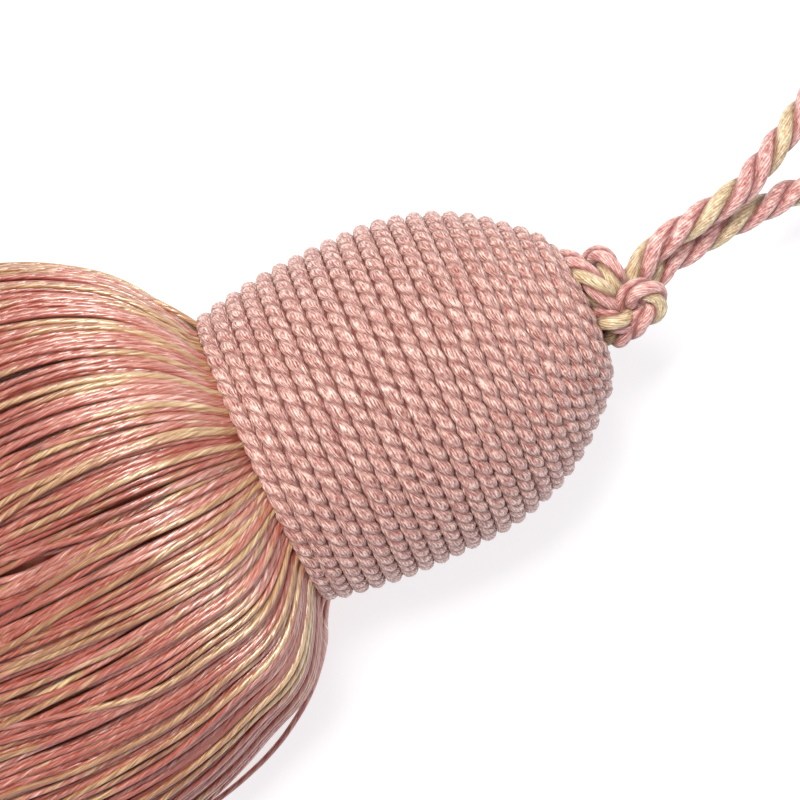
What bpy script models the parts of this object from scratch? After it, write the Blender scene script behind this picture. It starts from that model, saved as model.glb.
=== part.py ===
"""Decorative tassel lying on its side: wound head, full skirt, knot and hanging loop.

Metres, +Z up. The head's axis runs along X with the crown towards +X and the skirt
towards -X. The surface that the tassel lies on is z = 0, and the origin is the
middle of the tassel's footprint without its hanging loop.
"""
import bpy
import bmesh
from math import cos, sin, pi, radians
from mathutils import Vector
from mathutils.geometry import interpolate_bezier

# ---- driving dimensions ----
RIM_X = 0.0338            # where the head's rim stands along the tassel
AXIS_HEIGHT = 0.02915     # head's axis above the surface
GAP = 0.0003              # clearance kept between neighbouring pieces
SKIRT_LENGTH = 0.140      # from the rim to the cut ends
CORD_DIAMETER = 0.0042    # hanging cord
HEAD_STEPS = 56           # facets around the turned head
SKIRT_SIDES = 96          # facets around the skirt
KNOT_VOXEL = 0.00085      # fineness of the knot's surface

# head profile from the crown's dimple over the shoulder to the rim:
# (distance in front of the rim, radius to the outside of the winding)
HEAD_PROFILE = (
    (0.0604, 0.0000), (0.0605, 0.0040), (0.0611, 0.0062), (0.0616, 0.0084),
    (0.0614, 0.0106), (0.0604, 0.0134), (0.0586, 0.0160), (0.0549, 0.0192),
    (0.0514, 0.0222), (0.0463, 0.0253), (0.0411, 0.0274), (0.0343, 0.0290),
    (0.0274, 0.0294), (0.0206, 0.0294), (0.0137, 0.0291), (0.0069, 0.0282),
    (0.0017, 0.0273), (0.0000, 0.0266),
)

# skirt sections: (distance behind the rim, half width, height of the widest
# point, height of the top, depth that the underside would reach if nothing
# flattened it); the surface cuts every section off at z = 0
SKIRT_SECTIONS = (
    (GAP, 0.0257, 0.02915, 0.0548, 0.0035),
    (0.0040, 0.0326, 0.0280, 0.0590, 0.0003),
    (0.0090, 0.0390, 0.0255, 0.0625, -0.0015),
    (0.0160, 0.0450, 0.0225, 0.0640, -0.0030),
    (0.0260, 0.0505, 0.0195, 0.0625, -0.0050),
    (0.0400, 0.0548, 0.0170, 0.0580, -0.0070),
    (0.0600, 0.0574, 0.0150, 0.0515, -0.0090),
    (0.0850, 0.0583, 0.0135, 0.0455, -0.0100),
    (0.1120, 0.0585, 0.0125, 0.0410, -0.0100),
    (SKIRT_LENGTH, 0.0575, 0.0120, 0.0380, -0.0100),
)
LOCK_DEPTH = 0.0016       # how far the locks of thread stand proud at the cut ends
LOCK_COUNTS = (12, 20)    # broad and narrow locks around the skirt
CUT_UNEVENNESS = 0.0018   # how much the cut ends differ in length

# knot turns in front of the rim: (along the axis, sideways, height above the surface)
KNOT_TURNS = (
    # first turn: over the crown's upper side, round the back and up again
    ((0.0636, 0.0076, 0.0280), (0.0639, 0.0053, 0.0352), (0.0644, 0.0029, 0.0376),
     (0.0652, 0.0004, 0.0372), (0.0662, -0.0018, 0.0345), (0.0668, -0.0036, 0.0300),
     (0.0666, -0.0040, 0.0250), (0.0656, -0.0014, 0.0220), (0.0646, 0.0030, 0.0222),
     (0.0638, 0.0064, 0.0250)),
    # second turn, beside the first
    ((0.0684, 0.0080, 0.0285), (0.0682, 0.0062, 0.0342), (0.0682, 0.0036, 0.0366),
     (0.0688, 0.0012, 0.0356), (0.0694, -0.0006, 0.0320), (0.0698, -0.0020, 0.0270),
     (0.0694, -0.0010, 0.0228), (0.0690, 0.0024, 0.0216), (0.0686, 0.0062, 0.0240)),
    # bight that turns back on itself over the others and passes underneath
    ((0.0668, -0.0014, 0.0330), (0.0680, -0.0020, 0.0374), (0.0698, -0.0022, 0.0382),
     (0.0712, -0.0030, 0.0376), (0.0718, -0.0046, 0.0366), (0.0710, -0.0061, 0.0358),
     (0.0692, -0.0067, 0.0354), (0.0674, -0.0067, 0.0344), (0.0658, -0.0068, 0.0320),
     (0.0648, -0.0064, 0.0288), (0.0650, -0.0052, 0.0256), (0.0662, -0.0030, 0.0236)),
    # the two legs of the hanging loop where they come out
    ((0.0690, 0.0010, 0.0312), (0.0712, 0.0018, 0.0318), (0.0738, 0.0028, 0.0321)),
    ((0.0690, -0.0008, 0.0272), (0.0712, -0.0006, 0.0275), (0.0738, -0.0003, 0.0277)),
)
KNOT_HEART = (0.0682, 0.0002, 0.0296)         # middle of the tight inner turns
KNOT_HEART_RADII = (0.0038, 0.0062, 0.0066)

# hanging loop's route in front of the rim, from the knot round and back to the knot
LOOP_ROUTE = (
    (0.0749, 0.0031, 0.0321), (0.0768, 0.0039, 0.0324), (0.0794, 0.0044, 0.0324),
    (0.0822, 0.0048, 0.0322), (0.0881, 0.0055, 0.0315), (0.0938, 0.0064, 0.0303),
    (0.0991, 0.0088, 0.0285), (0.1055, 0.0119, 0.0262), (0.1125, 0.0157, 0.0232),
    (0.1185, 0.0184, 0.0193), (0.1245, 0.0203, 0.0148), (0.1305, 0.0216, 0.0098),
    (0.1362, 0.0218, 0.0056), (0.1418, 0.0208, 0.0034), (0.1472, 0.0184, 0.0027),
    (0.1518, 0.0147, 0.0027), (0.1548, 0.0098, 0.0027), (0.1556, 0.0040, 0.0027),
    (0.1540, -0.0016, 0.0027), (0.1500, -0.0058, 0.0027), (0.1446, -0.0081, 0.0029),
    (0.1388, -0.0085, 0.0041), (0.1330, -0.0075, 0.0068), (0.1275, -0.0058, 0.0103),
    (0.1218, -0.0037, 0.0139), (0.1160, -0.0017, 0.0168), (0.1104, 0.0001, 0.0190),
    (0.1040, 0.0022, 0.0208), (0.0984, 0.0022, 0.0229), (0.0932, 0.0021, 0.0246),
    (0.0879, 0.0019, 0.0259), (0.0821, 0.0012, 0.0269), (0.0793, 0.0010, 0.0273),
    (0.0767, 0.0006, 0.0276), (0.0749, -0.0003, 0.0277),
)
LOOP_POINTS = 78          # points of the finished tube
LOOP_DIAMETER = 0.0052    # the same cord, fuller where nothing pulls it tight


def clear_scene():
    for thing in list(bpy.data.objects):
        bpy.data.objects.remove(thing, do_unlink=True)


def new_collection(name):
    group = bpy.data.collections.new(name)
    bpy.context.scene.collection.children.link(group)
    return group


def fabric(name, colour, roughness):
    material = bpy.data.materials.new(name)
    material.use_nodes = True
    shader = material.node_tree.nodes["Principled BSDF"]
    shader.inputs["Base Color"].default_value = (*colour, 1.0)
    shader.inputs["Roughness"].default_value = roughness
    shader.inputs["Metallic"].default_value = 0.0
    material.diffuse_color = (*colour, 1.0)
    return material


def add_object(name, data, group, material):
    thing = bpy.data.objects.new(name, data)
    group.objects.link(thing)
    if material:
        data.materials.append(material)
    return thing


def smooth_route(points, count):
    """Evenly spaced points on a smooth curve that passes through every given point."""
    knots = [Vector(p) for p in points]
    dense = []
    for i in range(len(knots) - 1):
        before = knots[max(i - 1, 0)]
        after = knots[min(i + 2, len(knots) - 1)]
        lead_out = knots[i] + (knots[i + 1] - before) / 6
        lead_in = knots[i + 1] - (after - knots[i]) / 6
        span = interpolate_bezier(knots[i], lead_out, lead_in, knots[i + 1], 24)
        dense += span[:-1]
    dense.append(knots[-1])
    run = [0.0]
    for a, b in zip(dense, dense[1:]):
        run.append(run[-1] + (b - a).length)
    even = []
    j = 0
    for k in range(count):
        target = run[-1] * k / (count - 1)
        while j < len(run) - 2 and run[j + 1] < target:
            j += 1
        share = (target - run[j]) / (run[j + 1] - run[j])
        even.append(dense[j].lerp(dense[j + 1], share))
    return even


def from_rim(point):
    """A place given from the rim, in the tassel's own frame."""
    along, sideways, height = point
    return Vector((RIM_X + along, sideways, height))


def tube(name, points, diameter, group, material):
    """A round cord through the given points."""
    curve = bpy.data.curves.new(name, "CURVE")
    curve.dimensions = "3D"
    curve.bevel_depth = diameter / 2
    curve.bevel_resolution = 2
    curve.use_fill_caps = True
    spline = curve.splines.new("POLY")
    spline.points.add(len(points) - 1)
    for spline_point, place in zip(spline.points, points):
        spline_point.co = (*place, 1.0)
    return add_object(name, curve, group, material)


# ---- head: cord wound over a bell-shaped mould ----
def make_head(group, cutters, material):
    profile = bpy.data.meshes.new("head")
    points = [(radius, 0.0, along) for along, radius in HEAD_PROFILE] + [(0.0, 0.0, 0.0)]
    edges = [(i, i + 1) for i in range(len(points) - 1)]
    profile.from_pydata(points, edges, [])
    head = add_object("head", profile, group, material)
    head.location = (RIM_X, 0.0, AXIS_HEIGHT)
    head.rotation_euler = (0.0, radians(90), 0.0)
    turn = head.modifiers.new("turn", "SCREW")
    turn.axis = "Z"
    turn.steps = HEAD_STEPS
    turn.render_steps = HEAD_STEPS
    turn.use_merge_vertices = True
    turn.merge_threshold = 0.00001
    turn.use_smooth_shade = True
    # the winding is pressed flat where the belly rests on the surface
    bpy.ops.mesh.primitive_cube_add(size=0.1, location=(RIM_X + 0.03, 0.0, -0.05))
    press = bpy.context.active_object
    press.name = "resting_cut"
    press.hide_render = True
    press.display_type = "WIRE"
    for owner in list(press.users_collection):
        owner.objects.unlink(press)
    cutters.objects.link(press)
    flat = head.modifiers.new("flat spot", "BOOLEAN")
    flat.operation = "DIFFERENCE"
    flat.solver = "EXACT"
    flat.object = press
    return head


# ---- skirt: a full bundle of threads, flared at the rim and settled on the surface ----
def lock_wave(angle):
    broad, narrow = LOCK_COUNTS
    return 0.65 * cos(broad * angle + 0.6) + 0.35 * cos(narrow * angle + 2.1)


def skirt_ring(section):
    behind, half_width, widest, top, under = section
    share = behind / SKIRT_LENGTH
    ring = []
    for i in range(SKIRT_SIDES):
        angle = 2 * pi * i / SKIRT_SIDES
        across = cos(angle)
        up = sin(angle)
        proud = LOCK_DEPTH * share ** 0.5 * lock_wave(angle)
        side = (half_width + proud) * (abs(across) ** 0.88) * (1 if across >= 0 else -1)
        reach = (top + proud - widest) if up >= 0 else (widest - under)
        height = max(widest + reach * up, 0.0)
        uneven = CUT_UNEVENNESS * share ** 8 * lock_wave(angle + 0.4)
        ring.append((RIM_X - behind + uneven, side, height))
    return ring


def make_skirt(group, material):
    shape = bmesh.new()
    rings = []
    for section in SKIRT_SECTIONS:
        rings.append([shape.verts.new(place) for place in skirt_ring(section)])
    for front, back in zip(rings, rings[1:]):
        for i in range(SKIRT_SIDES):
            j = (i + 1) % SKIRT_SIDES
            shape.faces.new((front[i], front[j], back[j], back[i]))
    for ring in (rings[0], rings[-1]):
        middle = sum((v.co for v in ring), Vector()) / SKIRT_SIDES
        centre = shape.verts.new(middle)
        for i in range(SKIRT_SIDES):
            shape.faces.new((ring[i], ring[(i + 1) % SKIRT_SIDES], centre))
    bmesh.ops.recalc_face_normals(shape, faces=shape.faces)
    mesh = bpy.data.meshes.new("skirt")
    shape.to_mesh(mesh)
    shape.free()
    mesh.shade_smooth()
    mesh.set_sharp_from_angle(angle=radians(50))
    return add_object("skirt", mesh, group, material)


# ---- knot: the doubled cord's turns, drawn tight against the crown ----
def make_knot(group, material):
    shape = bmesh.new()
    for turn in KNOT_TURNS:
        route = [from_rim(p) for p in smooth_route(turn, 28)]
        cord = tube("knot_turn", route, CORD_DIAMETER, group, None)
        bpy.context.view_layer.update()
        solid = bpy.data.meshes.new_from_object(
            cord.evaluated_get(bpy.context.evaluated_depsgraph_get()))
        shape.from_mesh(solid)
        bpy.data.objects.remove(cord, do_unlink=True)
    bmesh.ops.remove_doubles(shape, verts=shape.verts, dist=0.00001)
    heart = bmesh.ops.create_uvsphere(shape, u_segments=20, v_segments=14, radius=1.0)
    bmesh.ops.scale(shape, verts=heart["verts"], vec=Vector(KNOT_HEART_RADII))
    bmesh.ops.translate(shape, verts=heart["verts"], vec=from_rim(KNOT_HEART))
    mesh = bpy.data.meshes.new("knot")
    shape.to_mesh(mesh)
    shape.free()
    knot = add_object("knot", mesh, group, material)
    merge = knot.modifiers.new("one solid", "REMESH")
    merge.mode = "VOXEL"
    merge.voxel_size = KNOT_VOXEL
    merge.use_smooth_shade = True
    return knot


# ---- hanging loop: the doubled cord beyond the knot ----
def make_loop(group, material):
    route = [from_rim(p) for p in smooth_route(LOOP_ROUTE, LOOP_POINTS)]
    return tube("hanging_loop", route, LOOP_DIAMETER, group, material)


clear_scene()
tassel = new_collection("tassel")
cutting = new_collection("cutters")
make_head(tassel, cutting, fabric("head_cord", (0.56, 0.31, 0.27), 0.55))
make_skirt(tassel, fabric("skirt_thread", (0.52, 0.27, 0.21), 0.50))
make_knot(tassel, fabric("knot_cord", (0.55, 0.33, 0.27), 0.55))
make_loop(tassel, fabric("loop_cord", (0.58, 0.36, 0.28), 0.55))
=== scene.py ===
from math import cos, pi, radians, sin, tau

import bpy
import bmesh
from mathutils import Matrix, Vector
from mathutils.geometry import interpolate_bezier


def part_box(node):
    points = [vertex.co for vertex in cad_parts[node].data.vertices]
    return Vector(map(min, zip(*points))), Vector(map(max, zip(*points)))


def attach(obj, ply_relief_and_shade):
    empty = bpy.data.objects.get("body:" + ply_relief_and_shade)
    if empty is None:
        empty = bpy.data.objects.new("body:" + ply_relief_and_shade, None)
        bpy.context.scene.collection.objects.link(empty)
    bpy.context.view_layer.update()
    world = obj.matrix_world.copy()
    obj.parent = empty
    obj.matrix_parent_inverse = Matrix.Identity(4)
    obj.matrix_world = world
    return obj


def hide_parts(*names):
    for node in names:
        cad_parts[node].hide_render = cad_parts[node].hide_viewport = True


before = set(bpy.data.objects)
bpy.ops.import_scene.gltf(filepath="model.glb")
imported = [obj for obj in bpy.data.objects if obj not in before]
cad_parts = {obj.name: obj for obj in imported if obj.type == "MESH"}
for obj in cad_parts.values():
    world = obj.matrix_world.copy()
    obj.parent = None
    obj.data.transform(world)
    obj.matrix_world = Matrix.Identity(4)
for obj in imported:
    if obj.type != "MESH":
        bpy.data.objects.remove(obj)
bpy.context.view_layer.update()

scene = bpy.context.scene

# ---------------------------------------------------------------------------
# Where the tassel lies. The head's axis runs along X, the crown towards +X and
# the skirt towards -X. It lies on the surface z = 0 and is looked at from
# straight above, over the middle of the head, with its crown up to the right.
# ---------------------------------------------------------------------------
RIM_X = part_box("head")[0].x
AXIS_HEIGHT = 0.02915
CAMERA_RISE = 0.450
CAMERA_PLACE = (RIM_X + 0.0257, -0.0009, AXIS_HEIGHT + CAMERA_RISE)
CAMERA_TURN = radians(-25.5)

camera_data = bpy.data.cameras.new("camera")
camera_data.sensor_width = 36.0
camera_data.lens = 118.1
camera_data.clip_start = 0.01
camera_data.clip_end = 20.0
camera = bpy.data.objects.new("camera", camera_data)
camera.location = CAMERA_PLACE
camera.rotation_euler = (0.0, 0.0, CAMERA_TURN)
scene.collection.objects.link(camera)
scene.camera = camera

# ---------------------------------------------------------------------------
# Hanging cord: a laid cord of three rayon strands, two rose and one champagne,
# twisted to the left. Both ends go into the knot at the crown, and the bight
# comes down and lies on the surface in front of it.
# ---------------------------------------------------------------------------
CORD_DIAMETER = 0.0042      # where the knot draws it tight
CORD_LAY = 0.0142
LOOP_DIAMETER = 0.0052      # where nothing pulls at it
LOOP_LAY = 0.0185
LOOP_ROUTE = (
    (0.0749, 0.0031, 0.0321), (0.0768, 0.0039, 0.0324), (0.0794, 0.0044, 0.0324),
    (0.0822, 0.0048, 0.0322), (0.0881, 0.0055, 0.0315), (0.0938, 0.0064, 0.0303),
    (0.0991, 0.0088, 0.0285), (0.1055, 0.0119, 0.0262), (0.1125, 0.0157, 0.0232),
    (0.1185, 0.0184, 0.0193), (0.1245, 0.0203, 0.0148), (0.1305, 0.0216, 0.0098),
    (0.1362, 0.0218, 0.0056), (0.1418, 0.0208, 0.0034), (0.1472, 0.0184, 0.0027),
    (0.1518, 0.0147, 0.0027), (0.1548, 0.0098, 0.0027), (0.1556, 0.0040, 0.0027),
    (0.1540, -0.0016, 0.0027), (0.1500, -0.0058, 0.0027), (0.1446, -0.0081, 0.0029),
    (0.1388, -0.0085, 0.0041), (0.1330, -0.0075, 0.0068), (0.1275, -0.0058, 0.0103),
    (0.1218, -0.0037, 0.0139), (0.1160, -0.0017, 0.0168), (0.1104, 0.0001, 0.0190),
    (0.1040, 0.0022, 0.0208), (0.0984, 0.0022, 0.0229), (0.0932, 0.0021, 0.0246),
    (0.0879, 0.0019, 0.0259), (0.0821, 0.0012, 0.0269), (0.0793, 0.0010, 0.0273),
    (0.0767, 0.0006, 0.0276), (0.0749, -0.0003, 0.0277),
)
FLOOR_GAP = 0.0001          # kept under whatever lies on the surface


class Tree:
    """A node tree in the making, for a material or for geometry."""

    def __init__(self, tree):
        self.tree = tree

    def node(self, kind, settings=None, sockets=None, pick=0):
        """Adds a node: its settings first, then the values or links of its sockets."""
        node = self.tree.nodes.new(kind)
        for name, value in (settings or {}).items():
            if name == "curve":
                points = node.mapping.curves[0].points
                points[0].location = value[0]
                points[1].location = value[-1]
                for place in value[1:-1]:
                    points.new(*place)
                node.mapping.update()
            else:
                setattr(node, name, value)
        for name, value in (sockets or {}).items():
            if isinstance(value, Wire):
                self.tree.links.new(value.socket, node.inputs[name])
            else:
                node.inputs[name].default_value = value
        if isinstance(pick, tuple):
            return [Wire(self, node.outputs[key]) for key in pick]
        return Wire(self, node.outputs[pick])

    def maths(self, operation, *parts):
        sockets = dict(enumerate(parts))
        return self.node("ShaderNodeMath", {"operation": operation}, sockets)

    def joined(self, x, y, z):
        return self.node("ShaderNodeCombineXYZ", None, {0: x, 1: y, 2: z})

    def split(self, vector):
        return self.node("ShaderNodeSeparateXYZ", None, {0: vector}, (0, 1, 2))

    def blended(self, share, first, second):
        settings = {"data_type": "RGBA"}
        sockets = {0: share, 6: first, 7: second}
        return self.node("ShaderNodeMix", settings, sockets, 2)

    def between(self, value, low, high):
        """0 below low, 1 above high, and a soft step from one to the other."""
        settings = {"interpolation_type": "SMOOTHSTEP"}
        sockets = {0: value, 1: low, 2: high, 3: 0.0, 4: 1.0}
        return self.node("ShaderNodeMapRange", settings, sockets)

    def noise(self, place, scale, detail=2.0, roughness=0.5):
        sockets = {"Vector": place, "Scale": scale, "Detail": detail, "Roughness": roughness}
        return self.node("ShaderNodeTexNoise", None, sockets)

    def stored(self, geometry, name, value, data_type="FLOAT_VECTOR"):
        """Keeps a value on every point, for the material to read."""
        settings = {"data_type": data_type, "domain": "POINT"}
        sockets = {"Geometry": geometry, "Name": name, "Value": value}
        return self.node("GeometryNodeStoreNamedAttribute", settings, sockets)


class Wire:
    """One output of a node, used in ordinary sums."""

    def __init__(self, tree, socket):
        self.tree = tree
        self.socket = socket

    def __add__(self, other):
        return self.tree.maths("ADD", self, other)

    __radd__ = __add__

    def __sub__(self, other):
        return self.tree.maths("SUBTRACT", self, other)

    def __rsub__(self, other):
        return self.tree.maths("SUBTRACT", other, self)

    def __mul__(self, other):
        return self.tree.maths("MULTIPLY", self, other)

    __rmul__ = __mul__

    def __truediv__(self, other):
        return self.tree.maths("DIVIDE", self, other)

    def __rtruediv__(self, other):
        return self.tree.maths("DIVIDE", other, self)

    def __pow__(self, other):
        return self.tree.maths("POWER", self, other)

    def floor(self):
        return self.tree.maths("FLOOR", self)

    def sine(self):
        return self.tree.maths("SINE", self)

    def cosine(self):
        return self.tree.maths("COSINE", self)

    def size(self):
        return self.tree.maths("ABSOLUTE", self)

    def at_least(self, other):
        return self.tree.maths("MAXIMUM", self, other)

    def at_most(self, other):
        return self.tree.maths("MINIMUM", self, other)


def linear_colour(code):
    """A colour, given as it looks on a screen, as the light that it reflects."""
    light = []
    for i in (0, 2, 4):
        part = int(code[i:i + 2], 16) / 255.0
        part = part / 12.92 if part <= 0.04045 else ((part + 0.055) / 1.055) ** 2.4
        light.append(part)
    return (*light, 1.0)


def geometry_tree(name, sizes):
    """A new tree with its named inputs; gives the tree and a wire for each input."""
    group = bpy.data.node_groups.new(name, "GeometryNodeTree")
    side = group.interface
    side.new_socket("Geometry", in_out="INPUT", socket_type="NodeSocketGeometry")
    for label, kind in sizes.items():
        side.new_socket(label, in_out="INPUT", socket_type="NodeSocket" + kind)
    side.new_socket("Geometry", in_out="OUTPUT", socket_type="NodeSocketGeometry")
    tree = Tree(group)
    names = ("Geometry", *sizes)
    wires = tree.node("NodeGroupInput", pick=names)
    return tree, dict(zip(names, wires))


def end_tree(tree, geometry):
    """Joins the finished geometry to the way out of the tree."""
    tree.node("NodeGroupOutput", None, {"Geometry": geometry}, ())


def finish_mesh(tree, geometry, material):
    """Smooth shading, real geometry and its material, as every tree here ends."""
    smooth = tree.node("GeometryNodeSetShadeSmooth", None, {"Geometry": geometry})
    real = tree.node("GeometryNodeRealizeInstances", None, {"Geometry": smooth})
    return tree.node("GeometryNodeSetMaterial", None, {0: real, "Material": material})


def made_by(tree, name, form, sizes):
    """Runs a tree on a curve and keeps the result as a plain mesh."""
    source = bpy.data.objects.new(name + "_form", form)
    scene.collection.objects.link(source)
    making = source.modifiers.new("making", "NODES")
    making.node_group = tree.tree
    for item in tree.tree.interface.items_tree:
        if item.in_out == "INPUT" and item.name in sizes:
            making[item.identifier] = sizes[item.name]
    graph = bpy.context.evaluated_depsgraph_get()
    mesh = bpy.data.meshes.new_from_object(
        source.evaluated_get(graph), preserve_all_data_layers=True, depsgraph=graph
    )
    source.modifiers.remove(making)
    bpy.data.objects.remove(source)
    mesh.name = name
    piece = bpy.data.objects.new(name, mesh)
    scene.collection.objects.link(piece)
    return piece


def smooth_route(points, count):
    """Evenly spaced points on a smooth curve that passes through every given point."""
    knots = [Vector(p) for p in points]
    dense = []
    for i in range(len(knots) - 1):
        before = knots[max(i - 1, 0)]
        after = knots[min(i + 2, len(knots) - 1)]
        lead_out = knots[i] + (knots[i + 1] - before) / 6
        lead_in = knots[i + 1] - (after - knots[i]) / 6
        span = interpolate_bezier(knots[i], lead_out, lead_in, knots[i + 1], 24)
        dense += span[:-1]
    dense.append(knots[-1])
    run = [0.0]
    for a, b in zip(dense, dense[1:]):
        run.append(run[-1] + (b - a).length)
    even = []
    j = 0
    for k in range(count):
        target = run[-1] * k / (count - 1)
        while j < len(run) - 2 and run[j + 1] < target:
            j += 1
        share = (target - run[j]) / (run[j + 1] - run[j])
        even.append(dense[j].lerp(dense[j + 1], share))
    return even


def from_rim(points, count):
    """A smooth route from points given as (distance from the rim, sideways, height)."""
    route = smooth_route(points, count)
    return [Vector((RIM_X + along, side, up)) for along, side, up in route]


def routed(name, routes, turns):
    """A curve through each route; its turn sets which strand lies uppermost."""
    curve = bpy.data.curves.new(name, "CURVE")
    curve.dimensions = "3D"
    for route, turn in zip(routes, turns):
        spline = curve.splines.new("POLY")
        spline.points.add(len(route) - 1)
        for point, place in zip(spline.points, route):
            point.co = (*place, 1.0)
            point.tilt = turn * tau
    return curve


# Laying: a tube with a lobe for each strand, that turns to the left as it
# follows the route. It keeps how far along the cord each point is, which way it
# faces and how far out it stands.
laying, given = geometry_tree("lay_a_cord", {
    "Strands": "Float", "Diameter": "Float", "Lay": "Float", "Step": "Float",
    "Points": "Int", "Fullness": "Float", "Material": "Material",
})
route = laying.node(
    "GeometryNodeResampleCurve", {"mode": "LENGTH"},
    {"Curve": given["Geometry"], "Length": given["Step"]},
)
run = laying.node("GeometryNodeSplineParameter", pick="Length")
route = laying.stored(route, "run", run, "FLOAT")
facing = laying.node("GeometryNodeInputCurveTilt")
twist = facing - run / given["Lay"] * tau
route = laying.node("GeometryNodeSetCurveTilt", None, {0: route, "Tilt": twist})
ring = laying.node(
    "GeometryNodeCurvePrimitiveCircle", None,
    {"Resolution": given["Points"], "Radius": 1.0},
)

# the outline of the strands: each is a circle that stands off the cord's middle
part = laying.node("GeometryNodeInputIndex") / given["Points"] * given["Strands"]
lobe = part.floor()
half_lobe = pi / given["Strands"]
swing = ((part - lobe) * pi - pi / 2).sine() * half_lobe
turn = (lobe * 2.0 + 1.0) * half_lobe + swing
centre = 1.0 - given["Fullness"]
reach = given["Fullness"] ** 2.0 - (centre * swing.sine()) ** 2.0
height = centre * swing.cosine() + reach ** 0.5
ring = laying.node("GeometryNodeSetPosition", None, {
    "Geometry": ring,
    "Position": laying.joined(height * turn.cosine(), height * turn.sine(), 0.0),
})
ring = laying.stored(ring, "round", laying.joined(turn.cosine(), turn.sine(), height))

tube = laying.node(
    "GeometryNodeCurveToMesh", None,
    {"Curve": route, "Profile Curve": ring, "Scale": given["Diameter"] * 0.5,
     "Fill Caps": True},
)
lifted = laying.node(
    "ShaderNodeVectorMath", {"operation": "MAXIMUM"},
    {0: laying.node("GeometryNodeInputPosition"), 1: (-10.0, -10.0, FLOOR_GAP)},
)
tube = laying.node("GeometryNodeSetPosition", None, {"Geometry": tube, "Position": lifted})
end_tree(laying, finish_mesh(laying, tube, given["Material"]))


def attribute(tree, name, pick="Fac"):
    """Reads what was kept on the mesh."""
    return tree.node("ShaderNodeAttribute", {"attribute_name": name}, None, pick)


def new_material(name):
    """A new material, with the tree and the shader that make it."""
    material = bpy.data.materials.new(name)
    material.use_nodes = True
    return material, Tree(material.node_tree), material.node_tree.nodes["Principled BSDF"]


def finish_material(tree, shader, links, values):
    """Links what varies over the surface and sets what is the same all over it."""
    for name, wire in links.items():
        tree.tree.links.new(wire.socket, shader.inputs[name])
    for name, value in values.items():
        shader.inputs[name].default_value = value


def toned(tree, lightness, tones):
    """The deep, middle or bright colour of a yarn, by how light it is there, painted light and
    shade included.
    """
    deep, middle, bright = tones
    low = tree.blended(tree.between(lightness, 0.0, 0.5), linear_colour(deep), linear_colour(middle))
    return tree.blended(tree.between(lightness, 0.45, 1.0), low, linear_colour(bright))


def silk(name, colours, strands, yarns, lay, yarn_depth, roughness, strokes, crease_shade):
    """Twisted rayon: yarns that run along the cord over each strand.

    colours gives the deep, middle and bright colour of the rose strands and of
    the champagne one; yarns is how many go round the cord; strokes is how much
    the filaments differ in tone; crease_shade is how much painted shade darkens
    the creases between strands and painted light lifts the crown of each strand.
    """
    material, tree, shader = new_material(name)
    across, down, _ = tree.split(attribute(tree, "round", "Vector"))
    run = attribute(tree, "run")

    # which strand it is, and how far across it from one crease to the next
    turn = tree.maths("FRACT", tree.maths("ARCTAN2", down, across) / tau + 1.0)
    part = turn * strands
    lobe = part.floor()
    leaf = (part - lobe) * 2.0 - 1.0

    # yarns run straight along the cord, a little bent over each strand
    straight = turn - run / lay
    bend = leaf * leaf * leaf * 0.10
    yarn = ((straight + bend) * (yarns * tau)).cosine() * 0.5 + 0.5
    swing = (straight + bend) * tau
    along = tree.joined(swing.cosine() * 0.6, swing.sine() * 0.6, run * 150.0 + lobe * 7.0)
    fibre = tree.noise(along, 6.0, 3.0, 0.7)
    patch = tree.noise(tree.joined(run * 90.0, lobe * 9.0, 0.0), 1.0, 2.0)

    # painted light and shade: lighter on the crown of each yarn and each strand, and darker
    # where two strands meet
    crest_light = tree.between(1.0 - leaf.size(), 0.0, 0.55)
    lightness = yarn * 0.30 + (fibre - 0.5) * strokes + patch * 0.30 + 0.195
    lightness = lightness + (crest_light - 0.75) * crease_shade
    sets = [toned(tree, lightness, tones) for tones in colours]
    colour = sets[0]
    if len(sets) == 2:
        first_strand = tree.maths("LESS_THAN", lobe, 0.5)
        colour = tree.blended(first_strand, sets[0], sets[1])
    relief = yarn * 0.5 + fibre * 1.6
    bump = tree.node(
        "ShaderNodeBump", None, {"Strength": 1.0, "Distance": yarn_depth, "Height": relief}
    )
    finish_material(tree, shader, {"Base Color": colour, "Normal": bump}, {
        "Roughness": roughness, "IOR": 1.6, "Specular IOR Level": 0.7,
        "Sheen Weight": 0.25, "Sheen Roughness": 0.4, "Sheen Tint": SHEEN_TINT,
    })
    return material


SHEEN_TINT = (1.0, 0.86, 0.80, 1.0)
ROSE = ("8E4038", "C28480", "FCD4C8")
CHAMPAGNE = ("8A6442", "C2A680", "F2E0BC")
cord_silk = silk(
    "cord_silk", (ROSE, CHAMPAGNE), strands=3, yarns=26, lay=CORD_LAY,
    yarn_depth=0.00015, roughness=0.40, strokes=2.0, crease_shade=0.42,
)
loop_silk = silk(
    "loop_silk", (ROSE, CHAMPAGNE), strands=3, yarns=28, lay=LOOP_LAY,
    yarn_depth=0.00015, roughness=0.40, strokes=2.3, crease_shade=0.42,
)

FULLNESS = 0.58             # a strand's radius as a share of the cord's
RING_POINTS = 48            # round the cord
LOOP_GUIDES = 160           # along the loop
# how each end runs on inside the knot
FIRST_END = ((0.0693, -0.0009, 0.0280), (0.0715, 0.0012, 0.0308))
SECOND_END = ((0.0725, -0.0012, 0.0262), (0.0706, -0.0026, 0.0245))
LOOP_FACING = -0.30         # which strand lies uppermost where the cord leaves the knot
whole_line = from_rim((*FIRST_END, *LOOP_ROUTE, *SECOND_END), LOOP_GUIDES)
hanging_cord = made_by(
    laying, "hanging_cord", routed("loop_line", [whole_line], [LOOP_FACING]),
    {"Strands": 3.0, "Diameter": LOOP_DIAMETER, "Lay": LOOP_LAY, "Step": LOOP_LAY / 30,
     "Points": RING_POINTS, "Fullness": FULLNESS, "Material": loop_silk},
)
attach(hanging_cord, "root")
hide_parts("hanging_loop")

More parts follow.
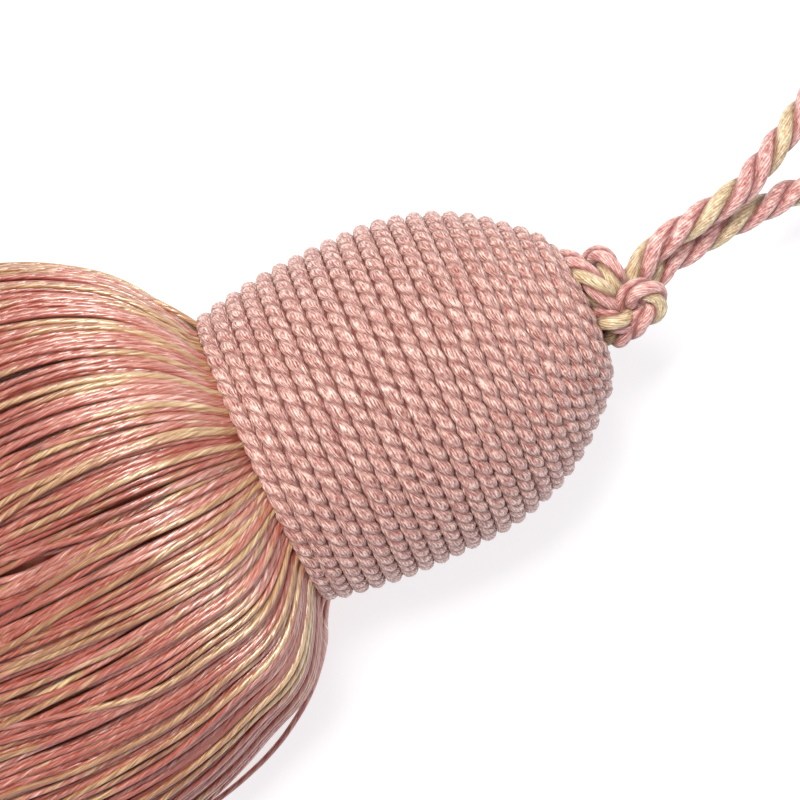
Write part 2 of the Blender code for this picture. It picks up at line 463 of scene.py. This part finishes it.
# ---------------------------------------------------------------------------
# Knot at the crown: the same cord, pulled tight in turns over one another, with
# a bight that turns back on itself to the side. It sits against the crown.
# ---------------------------------------------------------------------------
KNOT_TURNS = (
    # first turn, over the crown's upper side and down beside the bight
    ((0.0607, 0.0086, 0.0230), (0.0613, 0.0086, 0.0280), (0.0619, 0.0078, 0.0330),
     (0.0625, 0.0058, 0.0365), (0.0634, 0.0033, 0.0382), (0.0642, 0.0009, 0.0380),
     (0.0648, -0.0012, 0.0360), (0.0651, -0.0029, 0.0320), (0.0650, -0.0042, 0.0270)),
    # second turn, behind the first
    ((0.0647, 0.0054, 0.0230), (0.0656, 0.0065, 0.0280), (0.0667, 0.0065, 0.0325),
     (0.0673, 0.0052, 0.0350), (0.0674, 0.0034, 0.0356), (0.0672, 0.0016, 0.0350),
     (0.0672, -0.0002, 0.0325), (0.0675, -0.0019, 0.0280)),
    # bight that turns back on itself over the others and passes underneath
    ((0.0657, -0.0044, 0.0280), (0.0665, -0.0030, 0.0330), (0.0676, -0.0019, 0.0368),
     (0.0692, -0.0014, 0.0388), (0.0706, -0.0017, 0.0393), (0.0719, -0.0027, 0.0386),
     (0.0721, -0.0042, 0.0376), (0.0713, -0.0055, 0.0368), (0.0698, -0.0060, 0.0362),
     (0.0682, -0.0062, 0.0354), (0.0665, -0.0068, 0.0342), (0.0646, -0.0072, 0.0325),
     (0.0630, -0.0066, 0.0300), (0.0625, -0.0052, 0.0260), (0.0631, -0.0037, 0.0230)),
    # short turn that shows between the first turn and the bight
    ((0.0624, -0.0001, 0.0270), (0.0623, -0.0017, 0.0320), (0.0629, -0.0035, 0.0356),
     (0.0642, -0.0047, 0.0368), (0.0661, -0.0051, 0.0350), (0.0679, -0.0045, 0.0310)),
    # inner turn, under the others
    ((0.0620, 0.0063, 0.0260), (0.0621, 0.0037, 0.0310), (0.0624, 0.0010, 0.0330),
     (0.0635, -0.0014, 0.0335), (0.0655, -0.0029, 0.0320), (0.0681, -0.0033, 0.0305),
     (0.0706, -0.0038, 0.0280)),
)
KNOT_FACING = (0.60, 0.45, 0.70, 0.55, 0.33)     # which strand lies uppermost in each
TURN_GUIDES = 30            # along each turn

knot_lines = [from_rim(turn, TURN_GUIDES) for turn in KNOT_TURNS]
crown_knot = made_by(
    laying, "crown_knot", routed("knot_lines", knot_lines, KNOT_FACING),
    {"Strands": 3.0, "Diameter": CORD_DIAMETER, "Lay": CORD_LAY, "Step": CORD_LAY / 24,
     "Points": RING_POINTS, "Fullness": FULLNESS, "Material": cord_silk},
)
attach(crown_knot, "root")
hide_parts("knot")

# ---------------------------------------------------------------------------
# Head mould: the turned bell that the head is wound on. It only shows at the
# bottom of the grooves between the rows of cord, its dark red-brown painted shade.
# ---------------------------------------------------------------------------
HEAD_PROFILE = (
    (-0.0012, 0.0262), (0.0000, 0.0266), (0.0017, 0.0273), (0.0069, 0.0282),
    (0.0137, 0.0291), (0.0206, 0.0294), (0.0274, 0.0294), (0.0343, 0.0290),
    (0.0411, 0.0274), (0.0463, 0.0253), (0.0514, 0.0222), (0.0549, 0.0192),
    (0.0586, 0.0160), (0.0604, 0.0134), (0.0614, 0.0106), (0.0616, 0.0084),
    (0.0611, 0.0062), (0.0605, 0.0040), (0.0604, 0.0005),
)
MOULD_DEPTH = 0.0017        # how far the mould lies inside the wound head
MOULD_POINTS = 96


def inside_profile(depth, count):
    """The head's outline, moved in by a depth, from the rim to the crown."""
    outline = smooth_route([(along, 0.0, radius) for along, radius in HEAD_PROFILE], 160)
    last = len(outline) - 1
    moved = []
    for i, point in enumerate(outline):
        step = outline[min(i + 1, last)] - outline[max(i - 1, 0)]
        inward = Vector((step.z, 0.0, -step.x)).normalized()
        place = point + inward * depth
        moved.append(Vector((place.x, 0.0, max(place.z, 0.0002))))
    return smooth_route(moved, count)


def closed_skin(name, rings):
    """A closed mesh over rings of points, with a face over each end."""
    form = bmesh.new()
    loops = [[form.verts.new(place) for place in ring] for ring in rings]
    for first, second in zip(loops, loops[1:]):
        for k in range(len(first)):
            j = (k + 1) % len(first)
            form.faces.new((first[k], first[j], second[j], second[k]))
    form.faces.new(loops[0])
    form.faces.new(loops[-1])
    bmesh.ops.recalc_face_normals(form, faces=form.faces)
    for face in form.faces:
        face.smooth = True
    mesh = bpy.data.meshes.new(name)
    form.to_mesh(mesh)
    form.free()
    piece = bpy.data.objects.new(name, mesh)
    scene.collection.objects.link(piece)
    return piece


mould_rings = []
for point in inside_profile(MOULD_DEPTH, 48):
    ring = []
    for k in range(MOULD_POINTS):
        turn = tau * k / MOULD_POINTS
        ring.append((
            RIM_X + point.x, point.z * sin(turn), AXIS_HEIGHT + point.z * cos(turn)
        ))
    mould_rings.append(ring)
head_mould = closed_skin("head_mould", mould_rings)

mould_groove_shade, tree, shader = new_material("mould_groove_shade")
coordinates = tree.node("ShaderNodeTexCoord", pick="Object")
grain = tree.noise(coordinates, 900.0)
# painted shade for the bottoms of the grooves, with a fine grain
shade = tree.blended(grain, linear_colour("5E2C26"), linear_colour("84483E"))
finish_material(tree, shader, {"Base Color": shade}, {"Roughness": 0.8})
head_mould.data.materials.append(mould_groove_shade)
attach(head_mould, "root")
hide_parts("head")

# ---------------------------------------------------------------------------
# Head winding: one long two-strand cord in plain rose, wound side by side from
# the rim to the crown, each row pressed against the one before.
# ---------------------------------------------------------------------------
WINDING_DIAMETER = 0.00313
WINDING_LAY = 0.00594
WINDING_FULLNESS = 0.80
WINDING_DEPTH = 0.00158     # how far its middle lies inside the wound head
WINDING_ROWS = 26.2
WINDING_GUIDES = 3200       # points along its whole line
WINDING_LEAN = 0.0225       # how much the rows near the crown tilt
ROW_PITCH = 0.0030
FIRST_ROW = 0.0018          # how far inside the rim the cord starts

winding, given = geometry_tree("wind_the_head", {
    "Rows": "Float", "Row Pitch": "Float", "First Row": "Float", "Lean": "Float",
    "Rim": "Float", "Axis Height": "Float", "Strands": "Float", "Diameter": "Float",
    "Lay": "Float", "Step": "Float", "Points": "Int", "Fullness": "Float",
    "Material": "Material",
})
line = winding.node("GeometryNodeCurvePrimitiveLine", None, {"End": (1.0, 0.0, 0.0)})
line = winding.node(
    "GeometryNodeResampleCurve", {"mode": "COUNT"},
    {"Curve": line, "Count": WINDING_GUIDES},
)

# how many turns have been made, and how far up the outline that has brought it
share = winding.node("GeometryNodeSplineParameter", pick="Factor")
turned = share * given["Rows"] - 0.5
angle = turned * tau
unrest = winding.noise(winding.joined(turned * 2.3, 0.0, 0.0), 1.0, 2.0) - 0.5
climb = (turned * given["Row Pitch"] + given["First Row"]).at_least(0.0016)
climb = climb + angle.sine() * (climb - 0.0069) * given["Lean"] + unrest * 0.00035
sample = winding.node(
    "GeometryNodeSampleCurve", {"mode": "LENGTH", "use_all_curves": True},
    {"Curves": given["Geometry"], "Length": climb}, "Position",
)

# that height and radius on the outline, carried round the head's axis
along, _, radius = winding.split(sample)
spot = winding.joined(
    along + given["Rim"], radius * angle.sine(), radius * angle.cosine() + given["Axis Height"]
)
line = winding.node(
    "GeometryNodeSetPosition", None, {"Geometry": line, "Position": spot}
)
laid = winding.node("GeometryNodeGroup", {"node_tree": laying.tree}, {
    "Geometry": line, "Strands": given["Strands"], "Diameter": given["Diameter"],
    "Lay": given["Lay"], "Step": given["Step"], "Points": given["Points"],
    "Fullness": given["Fullness"], "Material": given["Material"],
})
end_tree(winding, laid)

HEAD_ROSE = ("843832", "C0887F", "F9D8CC")
head_silk = silk(
    "head_silk", (HEAD_ROSE,), strands=2, yarns=18, lay=WINDING_LAY,
    yarn_depth=0.00018, roughness=0.32, strokes=3.1, crease_shade=0.18,
)
profile_line = routed("winding_profile", [inside_profile(WINDING_DEPTH, 200)], [0.0])
head_winding = made_by(
    winding, "head_winding", profile_line,
    {"Rows": WINDING_ROWS, "Row Pitch": ROW_PITCH, "First Row": FIRST_ROW,
     "Lean": WINDING_LEAN, "Rim": RIM_X, "Axis Height": AXIS_HEIGHT, "Strands": 2.0,
     "Diameter": WINDING_DIAMETER, "Lay": WINDING_LAY, "Step": WINDING_LAY / 8.5,
     "Points": 18, "Fullness": WINDING_FULLNESS, "Material": head_silk},
)
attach(head_winding, "root")
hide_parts("head")

# ---------------------------------------------------------------------------
# Skirt: fine three-ply rayon threads, rose and champagne, bound inside the head's
# mouth. They swell out round the rim, settle on the surface and are cut level.
# ---------------------------------------------------------------------------
SKIRT_LENGTH = 0.140
SKIRT_ROUNDNESS = 0.88      # 1 is an ellipse, and less has fuller sides
TUCK = 0.006                # how far the threads reach in behind the rim
THREAD_DIAMETER = 0.00108
THREAD_LAY = 0.0100
THREAD_SIDES = 6
THREAD_GUIDES = 60          # points along each thread
LOCKS = 44.0                # that the threads gather in, round the skirt
# (distance behind the rim, half width, height of the widest point, height of
# the top, depth that the underside would reach if nothing flattened it)
SKIRT_SECTIONS = (
    (-TUCK, 0.0215, 0.02915, 0.0506, 0.0076),
    (-0.0015, 0.0232, 0.02915, 0.0523, 0.0060),
    (0.0003, 0.0246, 0.02915, 0.0537, 0.0046),
    (0.0040, 0.0316, 0.0282, 0.0584, 0.0010),
    (0.0090, 0.0390, 0.0255, 0.0625, -0.0015),
    (0.0160, 0.0450, 0.0225, 0.0640, -0.0030),
    (0.0260, 0.0505, 0.0195, 0.0625, -0.0050),
    (0.0400, 0.0548, 0.0170, 0.0580, -0.0070),
    (0.0600, 0.0574, 0.0150, 0.0515, -0.0090),
    (0.0850, 0.0583, 0.0135, 0.0455, -0.0100),
    (0.1120, 0.0585, 0.0125, 0.0410, -0.0100),
    (SKIRT_LENGTH, 0.0575, 0.0120, 0.0380, -0.0100),
)


def rail(tree, behind, column):
    """One measure of the skirt's sections, read off a smooth curve behind the rim."""
    low, room, run = -0.02, 0.1, SKIRT_LENGTH + TUCK
    stops = [((row[0] + TUCK) / run, (row[column] - low) / room) for row in SKIRT_SECTIONS]
    place = (behind + TUCK) / run
    return tree.node("ShaderNodeFloatCurve", {"curve": stops}, {"Value": place}) * room + low


def chance(tree, low, high, item, seed):
    """A random value for each item, the same in every run."""
    sockets = {2: low, 3: high, 7: item, 8: seed}
    return tree.node("FunctionNodeRandomValue", {"data_type": "FLOAT"}, sockets, 1)


# Thread: a round tube along its line, which keeps its run and its place round.
threading, given = geometry_tree("spin_threads", {
    "Diameter": "Float", "Sides": "Int", "Material": "Material",
})
run = threading.node("GeometryNodeSplineParameter", pick="Length")
line = threading.stored(given["Geometry"], "run", run, "FLOAT")
ring = threading.node(
    "GeometryNodeCurvePrimitiveCircle", None, {"Resolution": given["Sides"], "Radius": 1.0}
)
ring = threading.stored(ring, "round", threading.node("GeometryNodeInputPosition"))
tube = threading.node("GeometryNodeCurveToMesh", None, {
    "Curve": line, "Profile Curve": ring, "Scale": given["Diameter"] * 0.5, "Fill Caps": True,
})
end_tree(threading, finish_mesh(threading, tube, given["Material"]))

# Layer: threads side by side round the skirt, gathered in locks as they fall.
layering, given = geometry_tree("hang_the_skirt", {
    "Threads": "Int", "Steps": "Int", "First Turn": "Float", "Turns": "Float",
    "Inset": "Float", "Locks": "Float", "Gather": "Float", "Rim": "Float", "Seed": "Int",
    "Champagne": "Float", "Wander": "Float", "Diameter": "Float", "Sides": "Int",
    "Material": "Material",
})
seed = given["Seed"]
line = layering.node("GeometryNodeCurvePrimitiveLine", None, {"End": (1.0, 0.0, 0.0)})
line = layering.node(
    "GeometryNodeResampleCurve", {"mode": "COUNT"}, {"Curve": line, "Count": given["Steps"]}
)
lines, thread = layering.node(
    "GeometryNodeDuplicateElements", {"domain": "SPLINE"},
    {"Geometry": line, "Amount": given["Threads"]}, (0, 1),
)

# how far behind the rim each point is, and how freely it hangs there
share = layering.node("GeometryNodeSplineParameter", pick="Factor")
cut = chance(layering, 0.0, 0.0024, thread, seed)
behind = (share * 0.3 + share * share * 0.7) * (SKIRT_LENGTH + TUCK - cut) - TUCK
fall = layering.between(behind, 0.002, 0.085)

# where a thread starts round the rim, and the lock that it falls in with
jitter = chance(layering, -0.65, 0.65, thread, seed + 1.0)
start = (thread + 0.5 + jitter) / given["Threads"] * given["Turns"] + given["First Turn"]
blur = layering.noise(layering.joined(start * 9.0, 3.3, 0.0), 1.0, 1.0)
lock = (start * given["Locks"] + blur * 2.5 + seed * 0.37).floor()
lock_turn = (lock + 0.5 - blur * 2.5 - seed * 0.37) / given["Locks"]
lock_rise = chance(layering, -1.0, 1.0, lock, 7)
lock_drift = chance(layering, -1.0, 1.0, lock, 8)
wander = layering.noise(layering.joined(thread * 3.71, behind * 22.0, seed), 1.0, 1.0) - 0.5
lift = layering.noise(layering.joined(thread * 5.17, behind * 34.0, seed + 9.0), 1.0, 1.0) - 0.5
stray = chance(layering, -1.0, 1.0, thread, seed + 2.0)
turn = (
    start
    + (lock_turn - start) * given["Gather"] * fall
    + (start * (2.0 * tau)).sine() * fall * 0.027
    + wander * fall * given["Wander"]
    + lock_drift * fall * 0.003
    + stray * stray * stray * fall * 0.022
)

# how deep it lies in the bundle, and how far the near side is drawn in
depth = (
    given["Inset"]
    + chance(layering, 0.0, 0.0004, thread, seed + 3.0)
    + lock_rise * fall * 0.0005
    + lift * (fall + 0.2) * 0.0026
)
near = layering.maths("LESS_THAN", (turn * tau).cosine(), 0.0)
drawn = layering.between(behind, 0.006, 0.022) * near * 0.0034

# its place on the section there, resting on the surface where that is lower
half_width = rail(layering, behind, 1) - depth - drawn - 0.0007
middle_height = rail(layering, behind, 2)
top_height = rail(layering, behind, 3) - depth
under_height = rail(layering, behind, 4) + depth
angle = turn * tau
cosine = angle.cosine()
sine = angle.sine()
sideways = half_width * layering.maths("SIGN", cosine) * cosine.size() ** SKIRT_ROUNDNESS
upwards = (
    middle_height
    + (top_height - middle_height) * sine.at_least(0.0)
    + (middle_height - under_height) * sine.at_most(0.0)
)
rest = depth.at_least(0.0) * 0.6 + given["Diameter"] * 0.52
lines = layering.node("GeometryNodeSetPosition", None, {
    "Geometry": lines,
    "Position": layering.joined(given["Rim"] - behind, sideways, upwards.at_least(rest)),
})

# dip-dyed lengths, the tone of each length and the thread's own difference;
# painted light: the threads that lie deeper are made lighter, for the light that bounces
# between threads
group = layering.noise(layering.joined(start * 40.0, seed * 3.1, behind * 55.0), 1.0, 1.0)
tint = group + chance(layering, -0.10, 0.10, thread, seed + 4.0)
tint = layering.between(tint, 0.90 - given["Champagne"], 1.12 - given["Champagne"])
gloss = layering.noise(layering.joined(start * 18.0, seed * 2.3, behind * 40.0), 1.0, 1.0)
shade = chance(layering, 0.0, 0.7, thread, seed + 5.0) + (gloss - 0.5) * 1.6
# painted light: lighter the deeper the layer lies
shade = shade + given["Inset"] * 220.0
mottle = chance(layering, 0.0, 1.0, thread, seed + 6.0)
lines = layering.stored(lines, "dyeing", layering.joined(tint, shade, mottle))
spun = layering.node("GeometryNodeGroup", {"node_tree": threading.tree}, {
    "Geometry": lines, "Diameter": given["Diameter"], "Sides": given["Sides"],
    "Material": given["Material"],
})
end_tree(layering, spun)

THREAD_ROSE = ("9A422F", "BC7665", "F6CEC4")
THREAD_CHAMPAGNE = ("945E36", "C09C70", "ECD6AA")
thread_silk, tree, shader = new_material("thread_silk")
across, down, _ = tree.split(attribute(tree, "round", "Vector"))
tint, shade, mottle = tree.split(attribute(tree, "dyeing", "Vector"))
run = attribute(tree, "run")

# three plies twisted together, each thread to its own lay
turn = tree.maths("ARCTAN2", down, across) / tau + 1.0
ply = (turn + run / THREAD_LAY * (0.85 + shade * 0.3) + mottle * 7.0) * 3.0
leaf = tree.maths("FRACT", ply) * 2.0 - 1.0
# each ply's round, for its bump and for painted shade between the plies
ply_relief_and_shade = 1.0 - leaf * leaf

# filaments that run with the plies, and the tone of each length
swing = ply * (tau / 3.0)
along = tree.joined(swing.cosine() * 0.32, swing.sine() * 0.32, run * 35.0 + mottle * 91.0)
fibre = tree.noise(along, 5.0, 3.0, 0.6)
patch = tree.noise(tree.joined(run * 45.0, mottle * 50.0, 0.0), 1.0, 2.0)
# painted shade: darker for the first 8 mm behind the rim, where the head's rim shades the
# threads; they also grow darker from 20 to 46 mm along their run
clear_of_rim_shade = tree.between(run, 0.006, 0.014)
deeper = tree.between(run, 0.020, 0.046)
lightness = ply_relief_and_shade * 0.16 + fibre * 2.1 + patch * 0.75 + shade * 0.35
lightness = lightness + clear_of_rim_shade * 0.10 - deeper * 0.26 - 1.37

# dipped lengths are champagne, and a few threads have one champagne ply
rose = toned(tree, lightness, THREAD_ROSE)
champagne = toned(tree, lightness, THREAD_CHAMPAGNE)
mixed = tree.maths("GREATER_THAN", mottle, 0.84)
first_ply = tree.maths("LESS_THAN", tree.maths("FRACT", ply / 3.0), 0.34)
dipped = tree.between(tint + (patch - 0.5) * 0.6, 0.30, 0.75)
colour = tree.blended(dipped.at_least(mixed * first_ply * 0.7), rose, champagne)
bump = tree.node(
    "ShaderNodeBump", None,
    {"Strength": 1.0, "Distance": 0.00009, "Height": ply_relief_and_shade + fibre},
)
finish_material(tree, shader, {"Base Color": colour, "Normal": bump}, {
    "Roughness": 0.33, "IOR": 1.7, "Specular IOR Level": 1.0,
    "Subsurface Weight": 0.25, "Subsurface Radius": (1.0, 0.40, 0.30),
    "Subsurface Scale": 0.0016,
    "Sheen Weight": 0.2, "Sheen Roughness": 0.4, "Sheen Tint": SHEEN_TINT,
})

UNIT_LINE = [(0.0, 0.0, 0.0), (1.0, 0.0, 0.0)]
SKIRT_LAYERS = (
    # name, threads, first turn, turns, inset, gather, wander, champagne, seed
    ("skirt_threads_loose", 34, 0.0, 0.56, -0.00020, 0.00, 0.060, 0.55, 91),
    ("skirt_threads_outer", 195, 0.0, 1.0, 0.00055, 0.19, 0.024, 0.36, 11),
    ("skirt_threads_second", 195, 0.0, 1.0, 0.00108, 0.19, 0.024, 0.36, 31),
    ("skirt_threads_third", 136, -0.03, 0.56, 0.00175, 0.19, 0.024, 0.36, 51),
    ("skirt_threads_inner", 136, -0.03, 0.56, 0.00245, 0.19, 0.024, 0.36, 71),
)
for name, threads, first, turns, inset, gather, wander, champagne, seed in SKIRT_LAYERS:
    layer = made_by(
        layering, name, routed(name, [UNIT_LINE], [0.0]),
        {"Threads": threads, "Steps": THREAD_GUIDES, "First Turn": first, "Turns": turns,
         "Inset": inset, "Locks": LOCKS, "Gather": gather, "Wander": wander, "Rim": RIM_X,
         "Seed": seed, "Champagne": champagne, "Diameter": THREAD_DIAMETER,
         "Sides": THREAD_SIDES, "Material": thread_silk},
    )
    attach(layer, "root")
    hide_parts("skirt")

# Stray threads that have slipped out at the sides and lie along the edges.
straying, given = geometry_tree("spin_strays", {
    "Step": "Float", "Tint": "Float", "Diameter": "Float", "Sides": "Int",
    "Material": "Material",
})
line = straying.node(
    "GeometryNodeResampleCurve", {"mode": "LENGTH"},
    {"Curve": given["Geometry"], "Length": given["Step"]},
)
line = straying.stored(line, "dyeing", straying.joined(given["Tint"], 0.5, 0.3))
spun = straying.node("GeometryNodeGroup", {"node_tree": threading.tree}, {
    "Geometry": line, "Diameter": given["Diameter"], "Sides": given["Sides"],
    "Material": given["Material"],
})
end_tree(straying, spun)

STRAYS = (
    # name, share of champagne, routes: (distance behind the rim, sideways, height)
    ("stray_threads_rose", 0.0, (
        ((-0.0010, -0.0246, 0.0280), (0.0024, -0.0295, 0.0220), (0.0045, -0.0335, 0.0150),
         (0.0077, -0.0376, 0.0090), (0.0116, -0.0416, 0.0045), (0.0163, -0.0451, 0.0020),
         (0.0219, -0.0482, 0.0010), (0.0282, -0.0505, 0.0008), (0.0355, -0.0523, 0.0008),
         (0.0460, -0.0539, 0.0008), (0.0587, -0.0551, 0.0008), (0.0732, -0.0557, 0.0008),
         (0.1000, -0.0560, 0.0008), (0.1280, -0.0548, 0.0008)),
        ((-0.0010, -0.0240, 0.0330), (0.0033, -0.0287, 0.0300), (0.0058, -0.0328, 0.0260),
         (0.0104, -0.0370, 0.0220), (0.0163, -0.0404, 0.0180), (0.0245, -0.0438, 0.0140),
         (0.0355, -0.0472, 0.0100), (0.0520, -0.0502, 0.0070), (0.0800, -0.0530, 0.0060),
         (0.1250, -0.0540, 0.0060)),
    )),
    ("stray_threads_champagne", 1.0, (
        ((-0.0010, 0.0240, 0.0310), (0.0024, 0.0284, 0.0305), (0.0055, 0.0327, 0.0280),
         (0.0095, 0.0383, 0.0230), (0.0145, 0.0429, 0.0200), (0.0207, 0.0470, 0.0170),
         (0.0279, 0.0509, 0.0150), (0.0402, 0.0549, 0.0130), (0.0572, 0.0574, 0.0110),
         (0.0733, 0.0578, 0.0100), (0.1000, 0.0580, 0.0090), (0.1320, 0.0572, 0.0080)),
        ((-0.0010, 0.0240, 0.0350), (0.0027, 0.0297, 0.0360), (0.0071, 0.0349, 0.0330),
         (0.0134, 0.0408, 0.0280), (0.0212, 0.0461, 0.0230), (0.0310, 0.0509, 0.0200),
         (0.0470, 0.0552, 0.0170), (0.0729, 0.0565, 0.0140), (0.1240, 0.0560, 0.0130)),
    )),
)
for name, tint, routes in STRAYS:
    lines = [
        [Vector((RIM_X - behind, side, up))
         for behind, side, up in smooth_route(route, THREAD_GUIDES)]
        for route in routes
    ]
    strays = made_by(
        straying, name, routed(name, lines, [0.0] * len(lines)),
        {"Step": 0.0018, "Tint": tint, "Diameter": THREAD_DIAMETER, "Sides": THREAD_SIDES,
         "Material": thread_silk},
    )
    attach(strays, "root")
    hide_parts("skirt")

# Cut ends: short ends of thread packed side by side over the far end.
ending, given = geometry_tree("pack_the_ends", {
    "Spacing": "Float", "Columns": "Int", "Rows": "Int", "Place": "Float",
    "Length": "Float", "Unevenness": "Float", "Half Width": "Float", "Middle": "Float",
    "Top": "Float", "Under": "Float", "Sides": "Int", "Material": "Material",
})
row_step = given["Spacing"] * 0.866
grid = ending.node("GeometryNodeMeshGrid", None, {
    "Size X": (given["Columns"] - 1.0) * given["Spacing"],
    "Size Y": (given["Rows"] - 1.0) * row_step,
    "Vertices X": given["Columns"], "Vertices Y": given["Rows"],
})

# staggered rows of spots, each a little out of place
level, tier, _ = ending.split(ending.node("GeometryNodeInputPosition"))
tier = tier / row_step + given["Rows"] * 0.5
shift = ending.maths("FRACT", tier.floor() * 0.5) * given["Spacing"]
end = ending.node("GeometryNodeInputIndex")
scatter = given["Spacing"] * 0.18
sideways = level + shift + chance(ending, -1.0, 1.0, end, 3) * scatter
upwards = tier * row_step + chance(ending, -1.0, 1.0, end, 4) * scatter

# only those inside the skirt's last section are kept
across = (sideways / given["Half Width"]).size() ** (2.0 / SKIRT_ROUNDNESS)
over = ((upwards - given["Middle"]) / (given["Top"] - given["Middle"])).at_least(0.0)
below = ((given["Middle"] - upwards) / (given["Middle"] - given["Under"])).at_least(0.0)
beyond = across + over * over + below * below - 1.0
outside = ending.maths("GREATER_THAN", beyond.at_least((0.0006 - upwards) * 1000.0), 0.0)
grid = ending.node(
    "GeometryNodeDeleteGeometry", {"domain": "POINT"}, {"Geometry": grid, "Selection": outside}
)
group = ending.noise(ending.joined(sideways * 160.0, upwards * 160.0, 0.0), 1.0, 1.0)
tint = ending.between(group, 0.50, 0.62)
shade = chance(ending, 0.0, 1.0, end, 6)
mottle = chance(ending, 0.0, 0.8, end, 7)
grid = ending.stored(grid, "dyeing", ending.joined(tint, shade, mottle))

# a stub of thread on each spot, lying lengthways and cut a little unevenly
depth = chance(ending, 0.0, 1.0, end, 5) * given["Unevenness"]
stub = ending.node("GeometryNodeMeshCylinder", None, {
    "Vertices": given["Sides"], "Radius": given["Spacing"] * 0.5, "Depth": given["Length"],
})
spots = ending.node("GeometryNodeSetPosition", None, {
    "Geometry": grid,
    "Position": ending.joined(
        given["Place"] + depth + given["Length"] * 0.5, sideways,
        upwards.at_least(given["Spacing"] * 0.55)
    ),
})
stubs = ending.node("GeometryNodeInstanceOnPoints", None, {
    "Points": spots, "Instance": stub, "Rotation": (0.0, pi / 2, 0.0),
})
end_tree(ending, finish_mesh(ending, stubs, given["Material"]))

ENDS_IN = 0.0010            # how far they keep inside the skirt's outline
_, end_half, end_middle, end_top, end_under = SKIRT_SECTIONS[-1]
skirt_ends = made_by(
    ending, "skirt_ends", routed("ends", [UNIT_LINE], [0.0]),
    {"Spacing": 0.00106, "Columns": 112, "Rows": 42, "Place": RIM_X - SKIRT_LENGTH + 0.0002,
     "Length": 0.0050, "Unevenness": 0.0024, "Half Width": end_half - ENDS_IN,
     "Middle": end_middle, "Top": end_top - ENDS_IN, "Under": end_under,
     "Sides": THREAD_SIDES, "Material": thread_silk},
)
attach(skirt_ends, "root")
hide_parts("skirt")

# Heart of the skirt: the mass of threads under the outer ones, seen only as the
# deep red between them; its red is lighter than the threads' deep tone, painted light for the
# light that bounces between threads.
HEART_POINTS = 72
HEART_LIFT = 0.003          # how far it keeps off the surface
heart_rings = []
for behind, half, middle_height, top, under in SKIRT_SECTIONS:
    inset = 0.0035 + 0.0020 * min(max(behind, 0.0) / 0.04, 1.0)
    behind = min(behind, SKIRT_LENGTH - 0.004)
    ring = []
    for k in range(HEART_POINTS):
        angle = tau * k / HEART_POINTS
        reach = top - middle_height if sin(angle) > 0 else middle_height - under
        side = abs(cos(angle)) ** SKIRT_ROUNDNESS * (1 if cos(angle) > 0 else -1)
        ring.append((
            RIM_X - behind, (half - inset) * side,
            max(middle_height + (reach - inset) * sin(angle), HEART_LIFT),
        ))
    heart_rings.append(ring)
skirt_heart = closed_skin("skirt_heart", heart_rings)

heart_silk, tree, shader = new_material("heart_silk")
coordinates = tree.node("ShaderNodeTexCoord", pick="Object")
lengthways, sideways, upwards = tree.split(coordinates)
streaks = tree.joined(lengthways * 25.0, sideways * 700.0, upwards * 700.0)
streak = tree.noise(streaks, 1.0, 2.0)
# painted light: a lighter red than the threads' deep tone, in streaks along the threads
shade = tree.blended(tree.between(streak, 0.35, 0.65), linear_colour("CC563C"), linear_colour("E8967A"))
finish_material(tree, shader, {"Base Color": shade}, {"Roughness": 0.7})
skirt_heart.data.materials.append(heart_silk)
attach(skirt_heart, "root")
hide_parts("skirt")

# ---------------------------------------------------------------------------
# Floor and light: a pale floor, a big soft lamp from the far side and a cool
# fill from the near side.
# ---------------------------------------------------------------------------
FLOOR_REACH = 6
FLOOR_LEVEL = -0.0002
corners = ((-1, -1), (1, -1), (1, 1), (-1, 1))
floor_mesh = bpy.data.meshes.new("floor")
floor_mesh.from_pydata(
    [(FLOOR_REACH * x, FLOOR_REACH * y, FLOOR_LEVEL) for x, y in corners], [], [(0, 1, 2, 3)]
)
floor = bpy.data.objects.new("floor", floor_mesh)
scene.collection.objects.link(floor)
paper, tree, shader = new_material("paper")
finish_material(tree, shader, {}, {
    "Base Color": (0.45, 0.45, 0.46, 1.0), "Roughness": 0.9,
    "Emission Color": (1.0, 0.99, 1.0, 1.0), "Emission Strength": 0.68,
})
floor_mesh.materials.append(paper)

scene.view_settings.view_transform = "Standard"
world = bpy.data.worlds.new("studio")
world.use_nodes = True
sky = world.node_tree.nodes["Background"]
sky.inputs["Color"].default_value = (0.92, 0.94, 1.0, 1.0)
sky.inputs["Strength"].default_value = 0.50
scene.world = world


def lamp(name, place, aim, width, power, colour):
    """A square lamp turned towards a place."""
    data = bpy.data.lights.new(name, "AREA")
    data.shape = "SQUARE"
    data.size = width
    data.energy = power
    data.color = colour
    light = bpy.data.objects.new(name, data)
    light.location = place
    light.rotation_euler = (Vector(aim) - Vector(place)).to_track_quat("-Z", "Y").to_euler()
    scene.collection.objects.link(light)


middle = (RIM_X, 0.0, 0.03)
lamp("key", (-0.02, 0.36, 0.95), middle, 0.36, 12.0, (1.0, 0.95, 0.88))
lamp("fill", (0.30, -0.80, 0.45), middle, 0.70, 0.8, (0.86, 0.90, 1.0))
